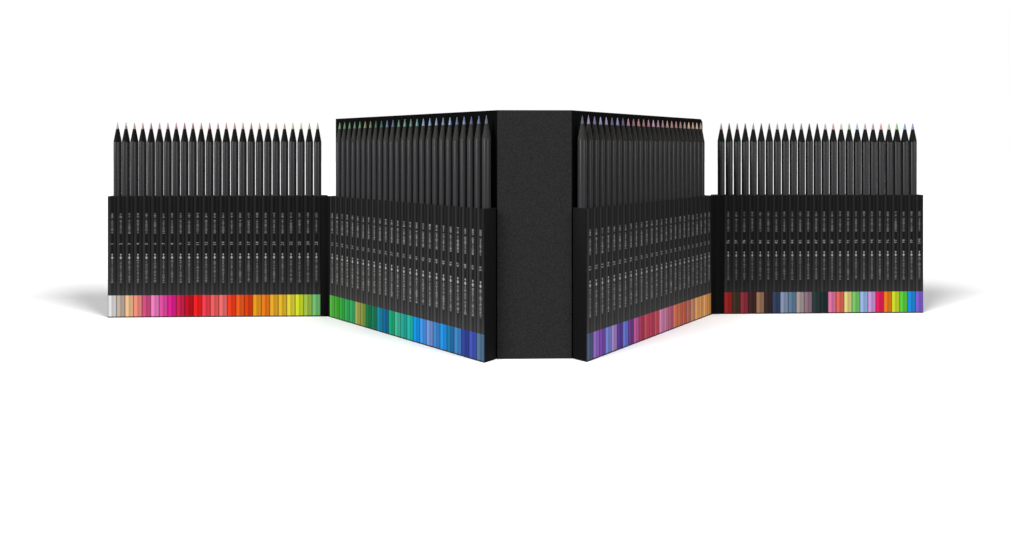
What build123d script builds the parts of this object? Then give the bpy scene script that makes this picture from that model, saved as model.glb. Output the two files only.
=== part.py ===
from build123d import *
import os
from math import cos, radians, sin, tan

# A folding pencil case that stands open on a table like a low screen. A spine in the middle carries a
# cover on each side, an inner tray of pencils is glued to each cover, and a wing, which is an outer
# tray of pencils, hangs on a fold at the far end of each inner tray. To close the case, the wings fold
# over the inner trays and the covers close on them like a book.
#
# Millimetres and degrees. +Z is up, +X runs along the open case and -Y is the side that is looked at.
# The origin is the middle of the spine's foot, on the table.

# ---------------------------------------------------------------- pencils
pencil_flats = 6.45  # across two opposite flats of the hexagon
pencil_length = 175.0  # from the lower end to the point
point_angle = 20.5  # whole angle of the sharpened cone
point_radius = 0.25  # radius at the blunted point
end_chamfer = 0.4  # chamfer round the lower end
lead_diameter = 2.3
lead_fit = 0.03  # glue line between the lead and its bore
casing_lip = 0.12  # wood left where the lead comes out
corner_gap = 0.15  # between the pencils of a wing where they stand corner to corner
wing_turns = (16.0, 30.0)  # first and last turn in a wing's row, each pencil about its own axis;
# they bring a corner of each pencil towards someone in front of the spine
inner_turns = (-20.0, -20.0)  # the same in the row of an inner tray, away from the spine
pencil_groups = (8, 9, 8)  # pencils in each group of a tray, from the spine outwards

# ---------------------------------------------------------------- trays
card = 1.2  # board of the tray's walls
print_sheet = 0.25  # printed sheet glued on the front
tray_height = 110.0
tray_floor = 2.0  # bottom of the tray, which the pencils stand on
row_spare = 3.2  # free width in a wing between the fold and its row of pencils
pencil_fit = 0.55  # clearance round a pencil in its groove, which lets it turn
rack_web = 1.75  # pulp board left behind the bottom of a groove
rack_ridge = 1.75  # height of the ridges between the grooves
rack_drop = 10.0  # how far the rack stops below the mouth

# ---------------------------------------------------------------- case
case_board = 2.2  # board of the spine and the covers
paper = 0.4  # covering and lining paper
case_rise = 4.0  # how far the covers stand above the pencil points
case_fold_gap = 0.05  # from the spine lining's rounded fold to the cover lining
cover_inset = 0.5  # from the fold line to the cover board
groove_gap = 0.5  # spare width in the groove at the back of a case fold
tray_inset = 0.6  # from the fold line to the inner tray
cover_overhang = 6.9  # how far the cover goes past the wing's fold line
right_corner_radius = 5.0  # rounded free corners of the right cover; the left one is square
stack_gap = 0.6  # between the two wings when the case is closed

# ---------------------------------------------------------------- fold between a tray and its wing
strip = 0.4  # thickness of the hinge strip
strip_gap = 0.05  # clearance beside the fold line
strip_web = 2.7  # free width of each leaf, from the fold line to its tray
strip_flap = 3.8  # width glued on the wing's front
strip_return = 9.0  # width glued on the end of the inner tray
fold_radius = 0.3  # rounded fold of the strip
print_fit = 0.2  # from the strip to the printed sheet on a wing

# ---------------------------------------------------------------- pose in which the case stands open
cover_angle = 45.0  # how far each cover is folded back past flat
wing_angle = 45.0  # how far each wing is turned forward again

# ---------------------------------------------------------------- sizes that follow
pencil_corners = pencil_flats / cos(radians(30))
groove_clearance = pencil_fit / cos(radians(30))
point_slope = tan(radians(point_angle / 2))
pencils_in_tray = sum(pencil_groups)
wing_pitch = pencil_corners + corner_gap  # the inner rows fill their trays
tray_width = 2 * card + pencils_in_tray * wing_pitch + row_spare
inner_pitch = (tray_width - 2 * card) / pencils_in_tray
rack_front = print_sheet + card
groove_bottom = rack_front + rack_web
pencil_y = groove_bottom + groove_clearance + pencil_corners / 2
tray_depth = pencil_y + pencil_corners / 2 + pencil_fit + card
hinge_lift = strip + strip_gap - print_sheet
case_height = tray_floor + pencil_length + case_rise
spine_width = 4 * tray_depth + 4 * hinge_lift + stack_gap + paper
groove = paper / 2 + case_board + paper + groove_gap
cover_width = tray_inset + tray_width + strip_web + cover_overhang

# ---------------------------------------------------------------- frames of the right half
# Each frame stands on the table with x pointing away from the spine, y to the back and z up. The left
# half is the mirror image.
cover_frame = Plane(
    origin=(spine_width / 2, -(case_board + paper) / 2, 0),
    x_dir=(cos(radians(cover_angle)), sin(radians(cover_angle)), 0),
    z_dir=(0, 0, 1),
)
inner_tray_frame = Plane(
    origin=cover_frame.from_local_coords((tray_inset, -paper / 2 - tray_depth, 0)),
    x_dir=cover_frame.x_dir,
    z_dir=(0, 0, 1),
)
wing_heading = radians(cover_angle - wing_angle)
wing_frame = Plane(
    origin=inner_tray_frame.from_local_coords((tray_width + strip_web, -hinge_lift, 0)),
    x_dir=(cos(wing_heading), sin(wing_heading), 0),
    z_dir=(0, 0, 1),
)
outer_tray_frame = Plane(
    origin=wing_frame.from_local_coords((strip_web, hinge_lift, 0)),
    x_dir=wing_frame.x_dir,
    z_dir=(0, 0, 1),
)


def plan_rectangle(x_span, y_span):
    """A rectangle of the sketch in progress, from its two spans."""
    with Locations((sum(x_span) / 2, sum(y_span) / 2)):
        Rectangle(x_span[1] - x_span[0], y_span[1] - y_span[0])


def make_sheet(frame, x_span, y_span, z_span, corner_radius=0.0):
    """A board or sheet that stands in a frame; its two free corners may be rounded."""
    with BuildPart() as sheet:
        with BuildSketch(frame.offset(z_span[0])):
            plan_rectangle(x_span, y_span)
        extrude(amount=z_span[1] - z_span[0])
        if corner_radius > 0:
            through = sheet.edges().filter_by(Axis(frame.origin, frame.y_dir))
            free_corners = through.group_by(Axis(frame.origin, frame.x_dir))[-1]
            fillet(free_corners, radius=corner_radius)
    return sheet.part


def wrap_round(board, outer):
    """Covering paper behind a board and turned over its edges: the outer block without the board."""
    with BuildPart() as wrap:
        add(outer)
        add(board, mode=Mode.SUBTRACT)
    return wrap.part


# ---------------------------------------------------------------- spine
def make_spine_board():
    """Greyboard strip between the two covers, inside its covering paper."""
    half = spine_width / 2 - groove - paper
    y_span = (-case_board / 2, case_board / 2)
    return make_sheet(Plane.XY, (-half, half), y_span, (paper, case_height - paper))


def make_spine_wrap(board):
    """Covering paper behind the spine board, turned over its four edges."""
    half = spine_width / 2 - groove
    y_span = (-case_board / 2, case_board / 2 + paper)
    return wrap_round(board, make_sheet(Plane.XY, (-half, half), y_span, (0, case_height)))


def make_spine_lining():
    """Grained paper on the spine's inner side; each long edge is the rounded fold of the case."""
    with BuildPart() as lining:
        with BuildSketch():
            with Locations((0, cover_frame.origin.Y)):
                SlotOverall(spine_width + paper, paper)
        extrude(amount=case_height)
    return lining.part


# ---------------------------------------------------------------- covers
def make_cover_board(corner_radius):
    """Greyboard of one cover, inside its covering paper."""
    return make_sheet(
        cover_frame,
        (cover_inset + paper, cover_width - paper),
        (paper / 2, paper / 2 + case_board),
        (paper, case_height - paper),
        corner_radius - paper,
    )


def make_cover_wrap(board, corner_radius):
    """Covering paper behind a cover board, turned over its four edges."""
    outer = make_sheet(
        cover_frame,
        (cover_inset, cover_width),
        (paper / 2, paper / 2 + case_board + paper),
        (0, case_height),
        corner_radius,
    )
    return wrap_round(board, outer)


def make_cover_lining(corner_radius):
    """Black paper on a cover's inner side, from the fold to the free edge."""
    return make_sheet(
        cover_frame,
        (paper / 2 + case_fold_gap, cover_width),
        (-paper / 2, paper / 2),
        (0, case_height),
        corner_radius,
    )


# ---------------------------------------------------------------- trays
def make_tray_front(frame):
    """Stiff front board of a pocket."""
    return make_sheet(frame, (0, tray_width), (print_sheet, rack_front), (0, tray_height))


def make_tray_print(frame, bare_margin):
    """Printed sheet on a pocket's front; a margin beside the fold may stay bare for the strip."""
    return make_sheet(frame, (bare_margin, tray_width), (0, print_sheet), (0, tray_height))


def make_tray_carton(frame):
    """Back, two ends and bottom of a pocket, folded from one card and glued behind the front."""
    y_span = (rack_front, tray_depth)
    with BuildPart() as carton:
        with BuildSketch(frame):
            plan_rectangle((0, tray_width), y_span)
        extrude(amount=tray_floor)
        with BuildSketch(frame):
            plan_rectangle((0, tray_width), (tray_depth - card, tray_depth))
            plan_rectangle((0, card), y_span)
            plan_rectangle((tray_width - card, tray_width), y_span)
        extrude(amount=tray_height)
    return carton.part


def make_tray_rack(frame, row_start, pitch):
    """Pulp board rack behind the front board, with an upright V groove for each pencil."""
    ridge_y = groove_bottom + rack_ridge
    half_groove = rack_ridge / tan(radians(30))
    row_middle = row_start + pencils_in_tray * pitch / 2
    with BuildPart() as rack:
        with BuildSketch(frame.offset(tray_floor)):
            plan_rectangle((card, tray_width - card), (rack_front, ridge_y))
            with Locations((row_middle, 0)):
                with GridLocations(pitch, 0, pencils_in_tray, 1):
                    Polygon(
                        (0, groove_bottom),
                        (half_groove, ridge_y),
                        (-half_groove, ridge_y),
                        align=None,
                        mode=Mode.SUBTRACT,
                    )
        extrude(amount=tray_height - rack_drop - tray_floor)
    return rack.part


# ---------------------------------------------------------------- hinge strip between tray and wing
def make_inner_leaf():
    """Leaf of the strip on the inner tray: glued to its far end and free up to the fold."""
    front_y = strip_gap - hinge_lift
    with BuildPart() as leaf:
        with BuildSketch(inner_tray_frame):
            plan_rectangle(
                (tray_width, tray_width + strip_web - fold_radius - strip_gap),
                (front_y, front_y + strip),
            )
            plan_rectangle(
                (tray_width, tray_width + strip),
                (front_y, front_y + strip + strip_return),
            )
        extrude(amount=tray_height)
    return leaf.part


def make_outer_leaf():
    """Leaf of the strip on the wing: the rounded fold, a free web and a flap on the wing's front."""
    with BuildPart() as leaf:
        with BuildSketch(wing_frame):
            Circle(fold_radius)
            plan_rectangle((0, strip_web + strip_flap), (strip_gap, strip_gap + strip))
        extrude(amount=tray_height)
    return leaf.part


# ---------------------------------------------------------------- pencils
def make_turned_profile(tip_radius, tip_height):
    """Half outline of a sharpened pencil, for turning: the lower chamfer, the cone and a flat tip."""
    wide = pencil_corners
    with BuildSketch(Plane.XZ) as profile:
        with BuildLine():
            Polyline(
                (0, 0),
                (pencil_flats / 2 - end_chamfer, 0),
                (wide, wide - pencil_flats / 2 + end_chamfer),
                (wide, pencil_length - (wide - point_radius) / point_slope),
                (tip_radius, tip_height),
                (0, tip_height),
                close=True,
            )
        make_face()
    return profile.face()


def make_casing():
    """Wooden casing of one pencil: a hexagon with a corner to the front, sharpened and bored."""
    bore_radius = lead_diameter / 2 + lead_fit
    lip_radius = bore_radius + casing_lip
    lip_height = pencil_length - (lip_radius - point_radius) / point_slope
    profile = make_turned_profile(lip_radius, lip_height)
    with BuildPart() as casing:
        with BuildSketch():
            RegularPolygon(pencil_flats / 2, 6, major_radius=False, rotation=30)
        extrude(amount=pencil_length)
        revolve(profile, axis=Axis.Z, mode=Mode.INTERSECT)
        Hole(bore_radius)
    return casing.part


def make_lead():
    """Coloured lead of one pencil, whose end comes out of the casing as the point."""
    profile = make_turned_profile(point_radius, pencil_length)
    with BuildPart() as lead:
        with BuildSketch():
            Circle(lead_diameter / 2)
        extrude(amount=pencil_length)
        revolve(profile, axis=Axis.Z, mode=Mode.INTERSECT)
    return lead.part


def make_group(frame, row_start, pitch, turns, first, count, one_piece):
    """A group of like pieces that stand side by side in a tray, from the first one's place in it."""
    group_frame = Plane(
        origin=frame.from_local_coords((row_start, pencil_y, tray_floor)),
        x_dir=frame.x_dir,
        z_dir=(0, 0, 1),
    )
    step = (turns[1] - turns[0]) / (pencils_in_tray - 1)
    stands = [
        Location(((place + 0.5) * pitch, 0, 0), (0, 0, -(turns[0] + place * step)))
        for place in range(first, first + count)
    ]
    with BuildPart(group_frame) as group:
        with Locations(*stands):
            add(one_piece)
    return group.part


# ---------------------------------------------------------------- the whole case
os.makedirs("parts", exist_ok=True)


def save(part, name):
    """Write one finished piece under its own name."""
    part.label = name
    export_step(part, f"parts/{name}.step")


def save_right(part, name):
    """Write a piece of the right half, which is modelled where it stands."""
    save(part, f"right_{name}")


def save_left(part, name):
    """Write the mirror image of a piece of the right half."""
    with BuildPart() as mirrored:
        mirror(part, about=Plane.YZ)
    save(mirrored.part, f"left_{name}")


def save_both(part, name):
    """Write a piece that the two halves have alike."""
    save_right(part, name)
    save_left(part, name)


def save_cover(save_side, corner_radius):
    """Write the board, the wrap and the lining of one cover, with its own corner radius."""
    board = make_cover_board(corner_radius)
    save_side(board, "cover_board")
    save_side(make_cover_wrap(board, corner_radius), "cover_wrap")
    save_side(make_cover_lining(corner_radius), "cover_lining")


def save_tray(name, frame, bare_margin, row_start, pitch, turns):
    """Write a tray and its pencils, on both sides of the case."""
    save_both(make_tray_carton(frame), f"{name}_tray_carton")
    save_both(make_tray_front(frame), f"{name}_tray_front")
    save_both(make_tray_print(frame, bare_margin), f"{name}_tray_print")
    save_both(make_tray_rack(frame, row_start, pitch), f"{name}_tray_rack")
    first = 0
    for number, count in enumerate(pencil_groups, start=1):
        group = (frame, row_start, pitch, turns, first, count)
        save_both(make_group(*group, casing), f"{name}_pencil_casings_{number}")
        save_both(make_group(*group, lead), f"{name}_pencil_leads_{number}")
        first += count


casing = make_casing()
lead = make_lead()

spine_board = make_spine_board()
save(spine_board, "spine_board")
save(make_spine_wrap(spine_board), "spine_wrap")
save(make_spine_lining(), "spine_lining")

save_cover(save_left, corner_radius=0.0)
save_cover(save_right, corner_radius=right_corner_radius)

save_tray("inner", inner_tray_frame, 0.0, card, inner_pitch, inner_turns)
save_tray("outer", outer_tray_frame, strip_flap + print_fit, card + row_spare, wing_pitch, wing_turns)

save_both(make_inner_leaf(), "hinge_inner_leaf")
save_both(make_outer_leaf(), "hinge_outer_leaf")
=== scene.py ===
# A folding pencil case for 100 coloured pencils, standing open on a white table like a low screen.
#
# Blender works in metres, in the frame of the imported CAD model: +X along the open case, -Y towards the
# viewer, +Z up, and the origin under the middle of the spine. Each piece is made in its own
# millimetres, and a matrix brings it to its place.

import math
import random

import bmesh
import bpy
from mathutils import Matrix, Vector


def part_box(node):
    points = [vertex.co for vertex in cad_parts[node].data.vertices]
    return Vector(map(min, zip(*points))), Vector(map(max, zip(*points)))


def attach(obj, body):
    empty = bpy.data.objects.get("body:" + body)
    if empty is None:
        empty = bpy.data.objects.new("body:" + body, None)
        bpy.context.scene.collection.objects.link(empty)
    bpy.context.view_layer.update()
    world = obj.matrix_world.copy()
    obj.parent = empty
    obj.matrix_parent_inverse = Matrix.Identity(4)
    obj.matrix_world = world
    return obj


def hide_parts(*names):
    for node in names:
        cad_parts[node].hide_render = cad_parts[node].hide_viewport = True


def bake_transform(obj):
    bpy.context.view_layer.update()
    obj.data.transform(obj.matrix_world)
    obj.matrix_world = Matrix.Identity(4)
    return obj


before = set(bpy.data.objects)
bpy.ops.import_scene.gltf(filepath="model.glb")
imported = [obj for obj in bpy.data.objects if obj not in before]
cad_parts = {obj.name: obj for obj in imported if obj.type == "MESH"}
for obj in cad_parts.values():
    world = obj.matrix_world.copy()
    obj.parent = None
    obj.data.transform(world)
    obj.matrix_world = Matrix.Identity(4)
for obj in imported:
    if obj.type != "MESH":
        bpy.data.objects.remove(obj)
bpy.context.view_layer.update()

scene = bpy.context.scene


# ---- Camera ---------------------------------------------------------------------------------------
# Stands level in front of the spine, a little to its left. Its frame is shifted and not tilted, so that
# uprights stay upright. Fitted to edges that were measured in the photograph.
camera_data = bpy.data.cameras.new("camera")
camera_data.sensor_width = 36.0
camera_data.lens = 24.49
camera_data.shift_x = 0.01621
camera_data.shift_y = -0.12376
camera = bpy.data.objects.new("camera", camera_data)
camera.location = (-0.04571, -0.50074, 0.15234)
camera.rotation_euler = (math.radians(90), 0, -0.0246)
scene.collection.objects.link(camera)
scene.camera = camera
scene.view_settings.view_transform = "Standard"


# ---- Table, backdrop and lamps --------------------------------------------------------------------
# White laminate table that runs on into a white surround. A key light from the left, a weaker fill from
# the right and a lamp behind light the case. The pencils have a lower fill of their own, which keeps
# their facets apart. Two high lamps light the table alone, so that the case throws soft shadows on it.
def linear(code):
    """An sRGB hex colour as the linear RGBA that shaders take."""
    channels = [int(code[place:place + 2], 16) / 255 for place in (0, 2, 4)]
    return [*(c / 12.92 if c <= 0.04045 else ((c + 0.055) / 1.055) ** 2.4 for c in channels), 1.0]


def find_socket(node, name):
    """The first socket in use that has this name or identifier."""
    return next(s for s in node.inputs if s.enabled and name in (s.name, s.identifier))


def output_of(source):
    """An output to link from: itself, or the first one in use of a node."""
    if isinstance(source, bpy.types.NodeSocket):
        return source
    return next(s for s in source.outputs if s.enabled)


def add_node(tree, kind, settings=None, links=None):
    """Adds a node. Settings go to its attributes or sockets, and links join outputs to its sockets."""
    node = tree.nodes.new("ShaderNode" + kind)
    for name, value in (settings or {}).items():
        if name == "stops":
            while len(node.color_ramp.elements) < len(value):
                node.color_ramp.elements.new(1.0)
            for element, (position, colour) in zip(node.color_ramp.elements, value):
                element.position = position
                element.color = linear(colour)
        elif hasattr(node, name):
            setattr(node, name, value)
        else:
            find_socket(node, name).default_value = value
    for name, source in (links or {}).items():
        tree.links.new(output_of(source), find_socket(node, name))
    return node


def start_material(name):
    """A new material with an empty node tree, and its coordinates in the object's own metres."""
    material = bpy.data.materials.new(name)
    material.use_nodes = True
    tree = material.node_tree
    tree.nodes.clear()
    place = add_node(tree, "TexCoord").outputs["Object"]
    return material, tree, place


def seen_by_eye(tree):
    """1 for camera, glossy and transmission rays, which see the white surround, and 0 for the rest."""
    path = add_node(tree, "LightPath").outputs
    camera_or_glossy = add_node(
        tree, "Math", {"operation": "MAXIMUM"},
        {"Value": path["Is Camera Ray"], "Value_001": path["Is Glossy Ray"]},
    )
    return add_node(
        tree, "Math", {"operation": "MAXIMUM"},
        {"Value": camera_or_glossy.outputs[0], "Value_001": path["Is Transmission Ray"]},
    ).outputs[0]


def per_metre(size):
    """Scale of a pattern on metres, from the size of its grains or blotches in millimetres."""
    return 1000 / size


AMBIENT = 0.07
TABLE_REACH = 8.0
TABLE_DROP = 0.0001
LAMP_DISTANCE = 2

world = bpy.data.worlds.new("white_studio")
world.use_nodes = True
scene.world = world
tree = world.node_tree
tree.nodes.clear()
ambient = add_node(tree, "Background", {"Color": linear("FFFFFF"), "Strength": AMBIENT})
white = add_node(tree, "Background", {"Color": linear("FFFFFF"), "Strength": 1.0})
surround = add_node(
    tree, "MixShader", {},
    {"Fac": seen_by_eye(tree), "Shader": ambient.outputs[0], "Shader_001": white.outputs[0]},
)
add_node(tree, "OutputWorld", {}, {"Surface": surround.outputs[0]})

# Matt white, with a mottle too faint to see apart. Light that bounces off it is weaker than it looks,
# as in a studio where black flags beside the lens keep dark objects deep.
MOTTLE = 3.3
white_laminate, tree, place = start_material("white_laminate")
mottle = add_node(tree, "TexNoise", {"Scale": per_metre(MOTTLE), "Detail": 2.0}, {"Vector": place})
white_film = add_node(
    tree, "Mix", {"data_type": "RGBA", "A_Color": linear("F6F6F6"), "B_Color": linear("F9F9F9")},
    {"Factor_Float": mottle.outputs["Fac"]},
)
laminate = add_node(
    tree, "Mix", {"data_type": "RGBA", "A_Color": linear("8C8C8C")},
    {"Factor_Float": seen_by_eye(tree), "B_Color": white_film},
)
diffuse = add_node(tree, "BsdfDiffuse", {"Roughness": 0.3}, {"Color": laminate})
add_node(tree, "OutputMaterial", {}, {"Surface": diffuse.outputs[0]})

bm = bmesh.new()
bmesh.ops.create_grid(bm, x_segments=1, y_segments=1, size=TABLE_REACH)
bmesh.ops.translate(bm, verts=bm.verts, vec=(0, 0, -TABLE_DROP))
table_mesh = bpy.data.meshes.new("table")
bm.to_mesh(table_mesh)
bm.free()
table_mesh.materials.append(white_laminate)
table = bpy.data.objects.new("table", table_mesh)
scene.collection.objects.link(table)

table_alone = bpy.data.collections.new("table_alone")
table_alone.objects.link(table)
all_but_table = bpy.data.collections.new("all_but_table")
all_but_table.objects.link(table)
all_but_table.collection_objects[0].light_linking.link_state = "EXCLUDE"
pencils_alone = bpy.data.collections.new("pencils_alone")
case_alone = bpy.data.collections.new("case_alone")
case_alone.objects.link(table)

# name, degrees from the viewer's side to the right, degrees up, angular size, level, what it lights
for name, bearing, height, spread, level, lit in (
    ("key_light", -62, 26, 20, 0.96, all_but_table),
    ("fill_light", 50, 30, 25, 0.62, case_alone),
    ("pencil_fill_light", 35, 22, 20, 0.42, pencils_alone),
    ("back_light", 165, 35, 25, 0.7, all_but_table),
    ("left_table_lamp", -51, 39, 22, 0.835, table_alone),
    ("right_table_lamp", 51, 39, 22, 0.835, table_alone),
):
    lamp_data = bpy.data.lights.new(name, "SUN")
    lamp_data.angle = math.radians(spread)
    lamp_data.energy = level * math.pi
    lamp = bpy.data.objects.new(name, lamp_data)
    around = Matrix.Rotation(math.radians(bearing), 4, "Z")
    down = Matrix.Rotation(math.radians(90 - height), 4, "X")
    lamp.matrix_world = around @ down @ Matrix.Translation((0, 0, LAMP_DISTANCE))
    lamp.light_linking.receiver_collection = lit
    scene.collection.objects.link(lamp)


# ---- Spine and covers: boards ---------------------------------------------------------------------
# Grey millboard, 2.2 mm thick, pressed from waste paper. It is shut in between the covering paper and
# the lining, and its cut edges would show pale fibres.
BOARD_FIBRE = 0.7

grey_millboard, tree, place = start_material("grey_millboard")
fibres = add_node(
    tree, "TexNoise", {"Scale": per_metre(BOARD_FIBRE), "Detail": 4.0, "Roughness": 0.7},
    {"Vector": place},
)
flecks = add_node(
    tree, "ValToRGB", {"stops": [(0.3, "6E6A64"), (0.55, "8B877F"), (0.7, "A8A49A")]},
    {"Fac": fibres.outputs["Fac"]},
)
bump = add_node(
    tree, "Bump", {"Strength": 0.4, "Distance": 0.0001}, {"Height": fibres.outputs["Fac"]}
)
board = add_node(
    tree, "BsdfPrincipled", {"Roughness": 0.95, "Specular IOR Level": 0.2},
    {"Base Color": flecks.outputs["Color"], "Normal": bump.outputs[0]},
)
add_node(tree, "OutputMaterial", {}, {"Surface": board.outputs[0]})


def refinish(node_name, new_material):
    """Gives a CAD node, whose shape is right, its real finish."""
    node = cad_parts[node_name]
    if not node.material_slots:
        node.data.materials.append(new_material)
    for material_slot in node.material_slots:
        material_slot.material = new_material


for name in ("spine_board", "left_cover_board", "right_cover_board"):
    refinish(name, grey_millboard)


# ---- Spine and covers: covering paper -------------------------------------------------------------
# Black paper with an embossed leather grain and a matt film, glued behind each board and turned over
# its four edges. The film rubs off first along the edges, which turn a little grey.
def edge_layer(bm):
    """The face layer that is 1 on rounded edges, where a finish wears."""
    return bm.faces.layers.float.get("edge") or bm.faces.layers.float.new("edge")


def round_edges(bm, edges, radius, segments):
    """Rounds edges with a bevel and marks the new faces as edge."""
    layer = edge_layer(bm)
    rounded = bmesh.ops.bevel(
        bm, geom=list(edges), offset=radius, offset_type="OFFSET", segments=segments, profile=0.5,
        affect="EDGES", clamp_overlap=True, material=-1,
    )
    for face in rounded["faces"]:
        face[layer] = 1.0


SMOOTH_UP_TO = math.radians(35)
MM = 0.001


def make_block(x_span, y_span, z_span, radius=0.0, segments=2):
    """A block between three spans, with rounded edges."""
    bm = bmesh.new()
    bmesh.ops.create_cube(bm, size=1.0)
    spans = (x_span, y_span, z_span)
    bmesh.ops.scale(bm, verts=bm.verts, vec=[high - low for low, high in spans])
    bmesh.ops.translate(bm, verts=bm.verts, vec=[(low + high) / 2 for low, high in spans])
    if radius:
        round_edges(bm, bm.edges, radius, segments)
    return bm


def finish_piece(name, bm, matrix, materials, body=None):
    """Ends a piece: its mesh goes to its place, its flats stay flat and its rounds are smooth."""
    bm.transform(matrix)
    bmesh.ops.recalc_face_normals(bm, faces=bm.faces)
    for face in bm.faces:
        face.smooth = True
    for edge in bm.edges:
        if len(edge.link_faces) == 2 and edge.calc_face_angle() > SMOOTH_UP_TO:
            edge.smooth = False
    mesh = bpy.data.meshes.new(name)
    bm.to_mesh(mesh)
    bm.free()
    for finish in materials:
        mesh.materials.append(finish)
    piece = bpy.data.objects.new(name, mesh)
    scene.collection.objects.link(piece)
    if body:
        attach(piece, body)
    return piece


def middle_of(node_name):
    """Middle of a CAD node's box, in metres."""
    low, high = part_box(node_name)
    return (low + high) / 2


def standing(middle, degrees):
    """Matrix for a piece made in millimetres round its middle, turned about its upright."""
    turn = Matrix.Rotation(math.radians(degrees), 4, "Z")
    return Matrix.Translation(middle) @ turn @ Matrix.Scale(MM, 4)


RUBBED_PATCH = 4.5


def wear_to(tree, place, plain, rubbed, share):
    """Plain colour that turns to the rubbed one on rounded edges, in patches a few millimetres long."""
    patches = add_node(
        tree, "TexNoise", {"Scale": per_metre(RUBBED_PATCH), "Detail": 3.0}, {"Vector": place}
    )
    rubs = add_node(
        tree, "MapRange", {"From Min": 0.42, "From Max": 0.62, "To Min": 0.25 * share, "To Max": share},
        {"Value": patches.outputs["Fac"]},
    )
    edge = add_node(tree, "Attribute", {"attribute_name": "edge"})
    worn = add_node(
        tree, "Math", {"operation": "MULTIPLY"},
        {"Value": rubs.outputs[0], "Value_001": edge.outputs["Fac"]},
    )
    return add_node(
        tree, "Mix", {"data_type": "RGBA", "B_Color": linear(rubbed)},
        {"Factor_Float": worn.outputs[0], "A_Color": plain},
    )


LEATHER_GRAIN = 0.77
FILM_CLOUD = 17.0

covering_paper, tree, place = start_material("grained_covering_paper")
grain = add_node(
    tree, "TexVoronoi",
    {"feature": "SMOOTH_F1", "Scale": per_metre(LEATHER_GRAIN), "Smoothness": 0.4}, {"Vector": place},
)
cloudy = add_node(tree, "TexNoise", {"Scale": per_metre(FILM_CLOUD), "Detail": 3.0}, {"Vector": place})
shade = add_node(
    tree, "Mix", {"data_type": "RGBA", "A_Color": linear("0B0B0C"), "B_Color": linear("121213")},
    {"Factor_Float": cloudy.outputs["Fac"]},
)
bump = add_node(
    tree, "Bump", {"Strength": 0.55, "Distance": 0.00012}, {"Height": grain.outputs["Distance"]}
)
sheen_spread = add_node(
    tree, "MapRange", {"To Min": 0.48, "To Max": 0.62}, {"Value": cloudy.outputs["Fac"]}
)
film = add_node(
    tree, "BsdfPrincipled", {"IOR": 1.5, "Specular IOR Level": 0.15},
    {
        "Base Color": wear_to(tree, place, shade, "3A3938", 0.5),
        "Roughness": sheen_spread.outputs[0],
        "Normal": bump.outputs[0],
    },
)
add_node(tree, "OutputMaterial", {}, {"Surface": film.outputs[0]})

CASE_HEIGHT = 181.0
SPINE_WIDTH = 47.33
COVER_WIDTH = 205.25
CORNER = 5.0
FOLDED_BACK = 45
CASE_BOARD = 2.2
PAPER = 0.4
PAPER_EDGE = 0.35
WRAP_DEPTH = CASE_BOARD + PAPER


def make_wrap(width, corner_radius, free_end):
    """Covering paper round its own middle: a thin back, turned over the four edges of a board."""
    half = (width / 2, WRAP_DEPTH / 2, CASE_HEIGHT / 2)
    bm = make_block(*((-reach, reach) for reach in half))
    if corner_radius:
        corners = [
            edge for edge in bm.edges
            if all(vert.co.x * free_end > 0 for vert in edge.verts)
            and abs(edge.verts[0].co.y - edge.verts[1].co.y) > 1
        ]
        round_edges(bm, corners, corner_radius, 8)
        for face in bm.faces:
            face[edge_layer(bm)] = 0.0
    sharp = [edge for edge in bm.edges if edge.calc_face_angle() > math.radians(50)]
    round_edges(bm, sharp, PAPER_EDGE, 3)
    front = min(bm.faces, key=lambda face: face.calc_center_median().y)
    bmesh.ops.inset_region(bm, faces=[front], thickness=PAPER - PAPER_EDGE, use_even_offset=True)
    sunk = bmesh.ops.extrude_discrete_faces(bm, faces=[front])["faces"]
    bmesh.ops.translate(bm, verts=sunk[0].verts, vec=(0, CASE_BOARD, 0))
    return bm


# body, width, corner radius of the free end, which end is free, turn about the upright
for body, width, corner_radius, free_end, degrees in (
    ("spine", SPINE_WIDTH, 0.0, 1, 0),
    ("left_cover", COVER_WIDTH, 0.0, -1, -FOLDED_BACK),
    ("right_cover", COVER_WIDTH, CORNER, 1, FOLDED_BACK),
):
    wrap = finish_piece(
        f"{body}_covering", make_wrap(width, corner_radius, free_end),
        standing(middle_of(f"{body}_wrap"), degrees), [covering_paper], body,
    )
    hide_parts(f"{body}_wrap")


# ---- Spine: lining --------------------------------------------------------------------------------
# Charcoal paper with a coarse felt grain, glued on the inner side of the spine board and folded over to
# the covers. Its pale and dark specks show as a fine speckle from a metre away.
FELT_GRAIN = 0.91
FELT_SPECK = 0.38

felt_paper, tree, place = start_material("charcoal_felt_paper")
coarse = add_node(
    tree, "TexNoise", {"Scale": per_metre(FELT_GRAIN), "Detail": 2.0, "Roughness": 0.6},
    {"Vector": place},
)
fine = add_node(tree, "TexNoise", {"Scale": per_metre(FELT_SPECK), "Detail": 2.0}, {"Vector": place})
specks = add_node(
    tree, "Mix", {"data_type": "FLOAT", "Factor_Float": 0.35},
    {"A_Float": coarse.outputs["Fac"], "B_Float": fine.outputs["Fac"]},
)
speckle = add_node(
    tree, "ValToRGB", {"stops": [(0.36, "1F1F1F"), (0.5, "292929"), (0.64, "333333")]},
    {"Fac": specks},
)
bump = add_node(tree, "Bump", {"Strength": 0.6, "Distance": 0.0002}, {"Height": specks})
felt = add_node(
    tree, "BsdfPrincipled",
    {"Roughness": 0.85, "Specular IOR Level": 0.12, "Sheen Weight": 0.02, "Sheen Roughness": 0.5},
    {"Base Color": speckle.outputs["Color"], "Normal": bump.outputs[0]},
)
add_node(tree, "OutputMaterial", {}, {"Surface": felt.outputs[0]})
refinish("spine_lining", felt_paper)


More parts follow.
